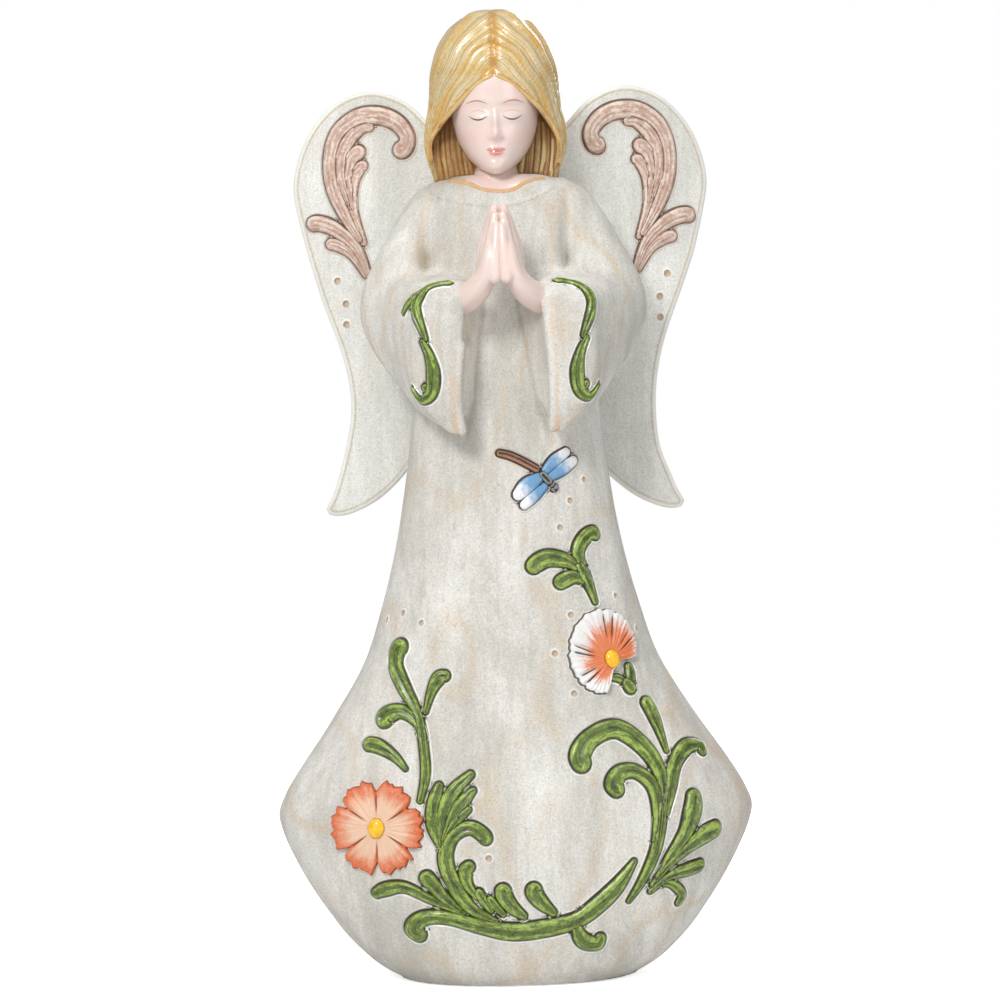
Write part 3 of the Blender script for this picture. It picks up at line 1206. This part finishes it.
insectWings = {
    "upperFore": ((14.5, 209.5, 3), (19.5, 214.5, 5.2), (25.5, 219, 3.4)),
    "upperHind": ((16.5, 207, 3), (23, 211.5, 5.2), (28.5, 215.5, 3.6)),
    "lowerFore": ((14, 208.5, 3.5), (8, 204.5, 6.8), (2.8, 199.5, 4)),
    "lowerHind": ((16, 205, 2.5), (10.5, 200, 4.4), (5.2, 195.5, 3.6)),
}
wingScrolls = {
    "crook": ((60.5, 312, 2.5), (67, 323, 5), (72, 335.5, 6.5), (73, 348, 7), (69.5, 359, 7.5),
              (61, 365.3, 8), (51.5, 366, 7.5), (43.5, 362.3, 7), (39.3, 356, 6.5),
              (41, 351, 7.5), (45, 351, 6)),
    "highLobe": ((65.5, 328.5, 2.5), (69, 343, 6.5), (66.5, 354, 6.5), (60, 361, 5.5),
                 (54, 361.5, 3.5)),
    "middleLobe": ((64, 325.5, 3), (66.5, 339.5, 6.5), (64, 348.5, 6.5), (58, 352, 6.4)),
    "lowLobe": ((59, 310.5, 2), (64.5, 325.5, 5.5), (64.5, 337, 6.5), (60.5, 344, 5.2),
                (57.5, 345, 3.5)),
    "longLeaf": ((57, 296.5, 2), (62.5, 309, 4.5), (71, 317.5, 6), (79, 321, 6.5), (84, 320, 6)),
    "shortLeaf": ((58.5, 296.5, 2), (64.5, 306.5, 4), (71, 311, 5), (76, 312, 4.5)),
}
sleeveScrolls = {
    "both": {
        "upper": ((20, 287, 4.4), (25.5, 286.8, 3), (31, 285, 3.4), (35, 280.5, 4.6), (35, 274, 4),
                  (31.5, 264, 1.5)),
        "lower": ((33.5, 264.5, 2), (30.5, 258, 3.5), (29, 250.5, 5.4), (30, 243, 5), (34, 240.5, 3.5),
                  (38, 246, 2.2)),
        "curl": ((31.2, 243, 2.2), (33.2, 246.5, 2.6)),
    },
    "right": {"twig": ((35.6, 282, 3), (38.5, 279.5, 3), (41, 275.5, 1.5))},
}
strokeForm = {
    "rise": 2.1, "sink": 1.6, "step": 2.1, "turn": math.radians(15), "rim": 0.5, "rimOut": 1.5,
    "grooveOut": 0.4, "valleys": ((0.14, 0.3, 0.4),), "light": (-0.6, 0.8), "knob": 0.22, "fall": 0.04,
    "slopeReach": 1.2,
}
topShares = (0.84, 0.6, 0.3, 0.0, -0.3, -0.6, -0.84)  # across the top of a leaf, from side to side


def topHeight(share, valleys):  # height of the top as a share of the rise, and how high it is there
    dome = (1 - abs(share) ** 3.6) ** 0.62
    dip = sum(depth * math.exp(-(((share - place) / width) ** 2)) for place, width, depth in valleys)
    return dome - dip, 1 - 2.3 * dip


def strokeStops(curve, total, width0, width1, form):
    steps = np.diff(curve[:, :2], axis=0)
    lengths = np.hypot(*steps.T)
    headings = np.unwrap(np.arctan2(steps[:, 1], steps[:, 0]))
    turns = np.abs(np.diff(headings, append=headings[-1]))
    reached = np.concatenate(([0], np.cumsum(lengths)))
    effort = np.concatenate(([0], np.cumsum(lengths / form["step"] + turns / form["turn"])))
    start, end = np.interp((width0 / 2, total - width1 / 2), reached, effort)
    count = max(3, round(end - start))
    return np.interp(np.linspace(start, end, count + 1), effort, reached)


def strokeSection(half, rise, form):  # out from the middle, height, and marks lift, ridge, rim
    outer = half + form["rimOut"]
    edge = [(outer, -form["sink"], 0, 0.5, 1), (outer, 0.02, 0, 0.5, 1),
            (half + form["rimOut"] * 0.72, form["rim"], 0.05, 0.5, 1),
            (half + form["grooveOut"], 0.04, 0, 0.2, 0), (half * 0.98, rise * 0.42, 0.4, 0.4, 0)]
    top = []
    for share in topShares:
        height, ridge = topHeight(share, form["valleys"])
        top.append((half * share, rise * height, 0.8 + 0.2 * height, ridge, 0))
    mirrored = [(-out, *rest) for out, *rest in reversed(edge)]
    return edge + top + mirrored


def makeStroke(name, points, surface, paint, form):
    curve = smoothCurve(points, 16)
    total = lengthsAlong(curve)[-1]
    stops = strokeStops(curve, total, points[0][2], points[-1][2], form)
    rows = alongCurve(curve, stops)
    ahead = alongCurve(curve, stops + 0.5) - alongCurve(curve, stops - 0.5)
    headings = np.unwrap(np.arctan2(ahead[:, 1], ahead[:, 0]))
    bends = np.gradient(headings, stops)
    stations = []  # place, onward, turn of the cap (90 is straight across), way, distance, bend
    caps = (8, 32, 56, 76)
    for turn in caps:
        stations.append((rows[0], ahead[0], turn, -1, stops[0], 0.0))
    for row, onward, stop, bend in zip(rows, ahead, stops, bends):
        stations.append((row, onward, 90, 1, stop, bend))
    for turn in reversed(caps):
        stations.append((rows[-1], ahead[-1], turn, 1, stops[-1], 0.0))
    lightX, lightZ = form["light"]
    tone = float(draws.uniform(0, 1))
    places = []
    marks = {key: [] for key in ("lift", "ridge", "rim", "side", "reach", "run", "across", "tone")}
    endWidth = points[-1][2]
    for (x, z, width), (dx, dz, _), turn, way, distance, bend in stations:
        y = surface(x, z)
        out = outwardAt(surface, x, z, form["slopeReach"])
        onward = np.array((dx, 0, dz)) - out * out.dot((dx, 0, dz))
        onward /= np.linalg.norm(onward)
        lateral = np.cross(onward, out)
        rise = form["rise"] * min(1, 0.45 + 0.1 * width)
        if endWidth >= 5:  # the curled end of a leaf swells
            rise *= 1 + form["knob"] * math.exp(-((total - distance - endWidth * 0.4) / endWidth) ** 2)
        spin = math.radians(turn)
        for across, height, lift, ridge, rim in strokeSection(width / 2, rise, form):
            side = float(np.sign(across))
            reachOut = abs(across)
            if side and bend * side < 0:  # the inside of a tight bend has less room
                reachOut = min(reachOut, 0.85 / max(abs(bend), 1e-6))
            direction = lateral * side * math.sin(spin) + onward * way * math.cos(spin) * abs(side)
            place = np.array((x, y, z)) + direction * reachOut
            ground = surface(place[0], place[2])
            if abs(ground - place[1]) < 4:
                place[1] = ground
            places.append(place + out * height)
            facing = direction / max(np.linalg.norm(direction), 1e-9)
            values = (lift, ridge, rim, (facing[0] * lightX + facing[2] * lightZ) if side else 0.0,
                      distance / total, distance, across / width * 2, tone)
            for key, value in zip(marks, values):
                marks[key].append(value)
    sides = len(strokeSection(1, 1, form))
    faces = ringFaces(len(stations), sides, capped=False)
    half = sides // 2
    for base in (0, (len(stations) - 1) * sides):  # the two halves of an end ring face each other
        for k in range(half):
            other = sides - 1 - k
            if k + 1 < half:
                faces.append((base + k, base + k + 1, base + other - 1, base + other))
            else:
                faces.append((base + k, base + k + 1, base + other))
    return makePiece(name, places, faces, paint, marks)


def makeStrokes(group, surface, paint, side=1, **changes):
    form = {**strokeForm, **changes}
    made = []
    for index, (name, points) in enumerate(group.items()):
        points = [(side * x, z, width) for x, z, width in points]
        lower = {**form, "rise": form["rise"] * (1 - form["fall"] * (index % 4))}
        made.append(makeStroke(name, points, surface, paint, lower))
    return made


scrollTop = {"valleys": ((-0.3, 0.18, 0.22), (0.3, 0.18, 0.22)), "rise": 2.5, "fall": 0.17}
carving = makeStrokes(leafStrokes, bodyFront, leafPaint)
carving += makeStrokes(insectStrokes["tail"], bodyFront, insectPaint, rise=2.4, step=1.2)
carving += makeStrokes(insectStrokes["thorax"], bodyFront, thoraxPaint, rise=3.0, step=1.2)
carving += makeStrokes(insectWings, bodyFront, bluePaint, rise=1.7, valleys=((0.3, 0.3, 0.1),), knob=0)
for side in (-1, 1):
    carving += makeStrokes(wingScrolls, wingFront, scrollPaint, side, **scrollTop)
    carving += makeStrokes(sleeveScrolls["both"], bodyFront, leafPaint, side)
carving += makeStrokes(sleeveScrolls["right"], bodyFront, leafPaint, -1)
print("strokes:", len(carving), "with", sum(len(c.data.polygons) for c in carving), "faces")


flowerForm = {
    "rise": 2.6, "sink": 1.6, "rings": 18, "spokes": 156, "rimOut": 1.1, "rim": 0.35,
    "round": {"centre": (-56.5, 66.5), "across": 18.3, "up": 18.3, "button": (-56.5, 66.5),
              "notches": ((0, 1), (57, 1), (123, 1), (180, 1), (234, 1), (303, 1)),
              "notchCut": 0.24, "notchWidth": 4.5, "creaseWidth": 2.3, "gap": None, "lean": 0,
              "waves": ((33, 0.022, 0.4), (19, 0.03, 2.1), (52, 0.014, 1.0)),
              "ripples": ((31, 0.35), (53, 0.2))},
    "fan": {"centre": (37, 135.5), "across": 13.8, "up": 17, "button": (40.5, 132),
            "notches": ((350, 1), (2.5, 1), (33, 0.8), (46, 0.9), (283, 1), (292, 0.9), (314, 0.35),
                        (244, 1), (229, 1)),
            "notchCut": 0.02, "notchWidth": 3, "creaseWidth": 2.1, "gap": (92, 186, 0.34),
            "lean": 0.26, "waves": ((44, 0.01, 0.4), (23, 0.014, 2.1)),
            "ripples": ((46, 0.5), (78, 0.2))},
    "buttonRadius": (3.5, 4.0),
}


def flowerEdge(flower, angle, middle):  # how far the edge is from the middle, at this angle from up
    cx, cz = flower["centre"]
    dx, dz = math.sin(angle), math.cos(angle)
    ox, oz = middle[0] - cx, middle[1] - cz
    a, b = flower["across"], flower["up"]
    qa = (dx / a) ** 2 + (dz / b) ** 2
    qb = 2 * (ox * dx / a**2 + oz * dz / b**2)
    qc = (ox / a) ** 2 + (oz / b) ** 2 - 1
    reach = (-qb + math.sqrt(qb * qb - 4 * qa * qc)) / (2 * qa)
    for count, depth, start in flower["waves"]:
        reach *= 1 + depth * math.sin(angle * count + start + 1.5 * math.sin(3 * angle))
    if flower["gap"]:  # a fan is open towards its stalk
        low, high, share = flower["gap"]
        inside = min(math.degrees(angle) - low, high - math.degrees(angle))
        reach *= 1 - (1 - share) / (1 + math.exp(-inside / 1.6))
    return reach


def notchAt(flower, angle, width):  # 1 in the middle of a notch between petals, 0 away from it
    deepest = 0.0
    for place, strength in flower["notches"]:
        away = (math.degrees(angle) - place + 180) % 360 - 180
        deepest = max(deepest, strength * math.exp(-((away / width) ** 2)))
    return deepest


def makeFlower(name, flower, surface, paint):
    middle = flower["button"]
    spokes, rings = flowerForm["spokes"], flowerForm["rings"]
    shares = np.linspace(0.1, 1, rings)
    rise, sink = flowerForm["rise"], flowerForm["sink"]
    points = []
    marks = {key: [] for key in ("lift", "ridge", "rim", "side", "reach", "tone")}
    x0, z0 = middle
    out = outwardAt(surface, x0, z0, 3)
    levels = [("top", share) for share in shares]
    levels += [("wall", 1.0), ("groove", 0.35), ("rim", 0.75), ("skirt", 1.1), ("base", 1.1)]
    for kind, share in levels:
        for k in range(spokes):
            angle = 2 * math.pi * (k + 0.5) / spokes
            edge = flowerEdge(flower, angle, middle)
            crease = notchAt(flower, angle, flower["creaseWidth"])
            cut = edge * (1 - flower["notchCut"] * notchAt(flower, angle, flower["notchWidth"]))
            wave = sum(size * math.sin(angle * count + 2 * math.sin(5 * angle))
                       for count, size in flower["ripples"])
            if kind == "top":
                distance = cut * share
                cupped = 0.6 + 0.4 * share**1.5
                opened = min(max((share - 0.3) / 0.25, 0), 1) * (1 - 0.7 * max(share - 0.85, 0) / 0.15)
                slit = crease * opened * 0.6
                lift = cupped - slit + 0.22 * share * wave
                height = rise * max(lift * (1 if share < 0.999 else 0.82), 0.08)
                values = (1 - 0.95 * crease * opened, 0.5 + 0.5 * wave, 0)
            elif kind == "wall":
                distance, height, values = cut + 0.1, rise * 0.3 * (1 - crease * 0.6), (0.2, 0.2, 0)
            else:
                distance = cut + share * (flowerForm["rimOut"] / 1.1)
                height = {"groove": 0.04, "rim": flowerForm["rim"], "skirt": 0.02, "base": -sink}[kind]
                values = (0.0, 0.2, 0 if kind == "groove" else 1)
            x = x0 + distance * math.sin(angle)
            z = z0 + distance * math.cos(angle)
            points.append(np.array((x, surface(x, z), z)) + out * height)
            slant = -0.6 * math.sin(angle) + 0.8 * math.cos(angle)
            nearRight = flower["lean"] * max(0, math.cos(angle - math.radians(65)))
            reach = min(1.0, distance / cut) - nearRight
            for key, value in zip(marks, (*values, slant, reach, angle * 1.6)):
                marks[key].append(value)
    return makePiece(name, points, ringFaces(len(levels), spokes), paint, marks)


def makeButton(flower, surface):
    x0, z0 = flower["button"]
    wide, high = flowerForm["buttonRadius"]
    out = outwardAt(surface, x0, z0, 3)
    points = []
    turns = np.linspace(-40, 86, 10)
    for turn in turns:
        reach = math.cos(math.radians(turn))
        lift = flowerForm["rise"] * 0.75 + 1.9 * math.sin(math.radians(turn))
        for k in range(28):
            angle = 2 * math.pi * k / 28
            spread = np.array((wide * math.sin(angle), 0, high * math.cos(angle))) * reach
            spread = spread - out * out.dot(spread)
            points.append(np.array((x0, surface(x0, z0), z0)) + spread + out * lift)
    return makePiece("button", points, ringFaces(len(turns), 28), buttonPaint)


carving.append(makeFlower("roundFlower", flowerForm["round"], bodyFront, roundPaint))
carving.append(makeFlower("fanFlower", flowerForm["fan"], bodyFront, fanPaint))
carving.append(makeButton(flowerForm["round"], bodyFront))
carving.append(makeButton(flowerForm["fan"], bodyFront))
print("flowers ready")


pitForm = {
    "radius": 1.25, "depth": 0.9, "rimOut": 1.0, "rimRise": 0.3,
    "robe": ((31.5, 206.5), (25.5, 198), (21, 187), (24.5, 151), (17.5, 135.5), (25, 119),
             (43.5, 158), (52, 144), (-51.5, 150), (-44.5, 153), (-37, 149), (-11.5, 54)),
    "wing": ((71.5, 295.5), (68, 285.5), (68, 276.5)),
    "wingSize": 1.25,
}


def pitPair(x, z, surface, paint, size=1.0):
    out = outwardAt(surface, x, z, 1.5)
    middle = np.array((x, surface(x, z), z))
    r, deep = pitForm["radius"] * size, pitForm["depth"] * size

    def lathe(name, rows, used, marks):
        points = []
        for reach, height in rows:
            for k in range(20):
                angle = 2 * math.pi * k / 20
                spread = np.array((math.sin(angle), 0, math.cos(angle))) * reach
                spread = spread - out * out.dot(spread)
                points.append(middle + spread + out * height)
        full = {key: np.full(len(points), value) for key, value in marks.items()}
        return makePiece(name, points, ringFaces(len(rows), 20), used, full)

    lift = pitForm["rimRise"]
    outer = r + pitForm["rimOut"]
    ring = lathe("pitRim", ((outer, -0.8), (outer, 0.02), (r + 0.55, lift), (r, lift * 0.9),
                            (r * 0.5, lift * 0.8)), paint, {"rim": 0.6})
    cutter = lathe("pit", ((r * 0.35, -deep), (r * 0.8, -deep * 0.7), (r, 0), (r * 1.05, 1.0)),
                   pitPaint, {})
    return ring, cutter


rims, pits = [], []
for x, z in pitForm["robe"]:
    ring, cutter = pitPair(x, z, bodyFront, robePaint)
    rims.append(ring)
    pits.append(cutter)
for side in (-1, 1):
    for x, z in pitForm["wing"]:
        ring, cutter = pitPair(side * x, z, wingFront, wingPaint, pitForm["wingSize"])
        rims.append(ring)
        pits.append(cutter)


collarForm = {
    "edge": ((-21, 332.4), (-16, 331.2), (-12.6, 330.2), (-8.4, 328), (-1.2, 326.6), (5, 327.2),
             (9.5, 329.8), (13.5, 331.6), (18.5, 332.4)),
    "edgeRadius": 1.15, "edgeProud": 0.2, "bare": (-14.5, 12), "bareFrom": (-9, 325),
    "line": ((-29, 328), (-22.7, 325), (-14.3, 322), (-3, 320.6), (8.5, 322), (16, 325.2),
             (22, 329)),
    "lineRadius": 1.3,
}


def collarTubes():
    tubes = []
    for key, radius, proud, trim in (("edge", collarForm["edgeRadius"], collarForm["edgeProud"], 1.0),
                                     ("line", collarForm["lineRadius"], 0.0, 0.0)):
        path = np.array([(x, bodyFront(x, z) - proud + radius * 0.75, z)
                         for x, z in smoothCurve(collarForm[key], 10)])
        tubes.append(makeTube("collar", evened(path, 4), radius, 12, robePaint, {"trim": trim}))
    return tubes


def bareNeck():  # the skin that shows above the collar
    low = smoothCurve(collarForm["edge"], 6)
    (left, right), (nearest, lowest) = collarForm["bare"], collarForm["bareFrom"]
    body.data.materials.append(skinPaint)
    setMark(body, "faceUp", np.full(len(body.data.vertices), -50.0))
    for face in body.data.polygons:
        x, y, z = (np.array(face.center) / unit) - (0, drawing["shiftBack"], 0)
        inside = left < x < right and y < nearest and z > lowest
        if inside and z > np.interp(x, low[:, 0], low[:, 1]):
            face.material_index = 1


bareNeck()
parts = [*hands, head, neck, hair, *lips, *strands, *wings, *carving, *rims, *collarTubes()]
cast = combine(body, parts, "UNION")
print("joined:", len(cast.data.polygons), "faces")
cast = combine(cast, pits, "DIFFERENCE")
cast.name = "angelCast"
triangles = sum(len(face.vertices) - 2 for face in cast.data.polygons)
print("cast:", triangles, "triangles")

cast.data.shade_smooth()
cast.data.set_sharp_from_angle(angle=math.radians(48))

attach(cast, "root")
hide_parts("angel_statue")


floorMesh = bpy.data.meshes.new("floor")
floorMesh.from_pydata([(-6, -6, 0), (6, -6, 0), (6, 6, 0), (-6, 6, 0)], [], [(0, 1, 2, 3)])
floor = bpy.data.objects.new("floor", floorMesh)
bpy.context.scene.collection.objects.link(floor)
floor.location.z = -0.0006
floorPaint, floorTree, floorShader = newPaint("paleFloor", 0.9, specular=0.1)
floorSeen = Field(addNode(floorTree, "ShaderNodeLightPath").outputs["Is Camera Ray"])
setInputs(floorShader, {"Base Color": (0.9, 0.9, 0.9, 1), "Emission Color": (1, 1, 1, 1),
                        "Emission Strength": floorSeen * 0.72})
floorMesh.materials.append(floorPaint)

world = bpy.data.worlds.new("studio")
bpy.context.scene.world = world
world.use_nodes = True
skySeen = Field(addNode(world.node_tree, "ShaderNodeLightPath").outputs["Is Camera Ray"])
setInputs(world.node_tree.nodes["Background"], {"Color": (1, 1, 1, 1),
                                                "Strength": between(skySeen, 0, 1, 0.4, 1.0)})

lights = {  # place, power in watts, size in metres, colour
    "key": ((-0.5, -1.2, 1.0), 13, 0.38, (1.0, 0.99, 0.975)),
    "fill": ((1.0, -1.4, 0.3), 4, 0.8, (1, 1, 1)),
    "top": ((0.1, -0.3, 1.4), 3.5, 0.4, (1, 1, 1)),
    "behind": ((0.5, 1.4, 0.8), 7, 0.8, (1, 1, 1)),
}
for name, (place, power, size, tint) in lights.items():
    lamp = bpy.data.lights.new(name, "AREA")
    lamp.energy = power
    lamp.size = size
    lamp.color = tint
    holder = bpy.data.objects.new(name, lamp)
    holder.location = place
    aim = Vector((0, 0, 0.22)) - Vector(place)
    holder.rotation_euler = aim.to_track_quat("-Z", "Y").to_euler()
    bpy.context.scene.collection.objects.link(holder)

cameraForm = {"place": (-3.38, -1116, 198.9), "lens": 95, "roll": math.radians(1.4)}
eye = bpy.data.cameras.new("view")
eye.lens = cameraForm["lens"]
eye.sensor_width = 36
eyeHolder = bpy.data.objects.new("view", eye)
eyeHolder.location = (np.array(cameraForm["place"]) + (0, drawing["shiftBack"], 0)) * unit
eyeHolder.rotation_euler = (math.radians(90), cameraForm["roll"], 0)
bpy.context.scene.collection.objects.link(eyeHolder)
bpy.context.scene.camera = eyeHolder
bpy.context.scene.view_settings.view_transform = "Standard"

print("scene ready")
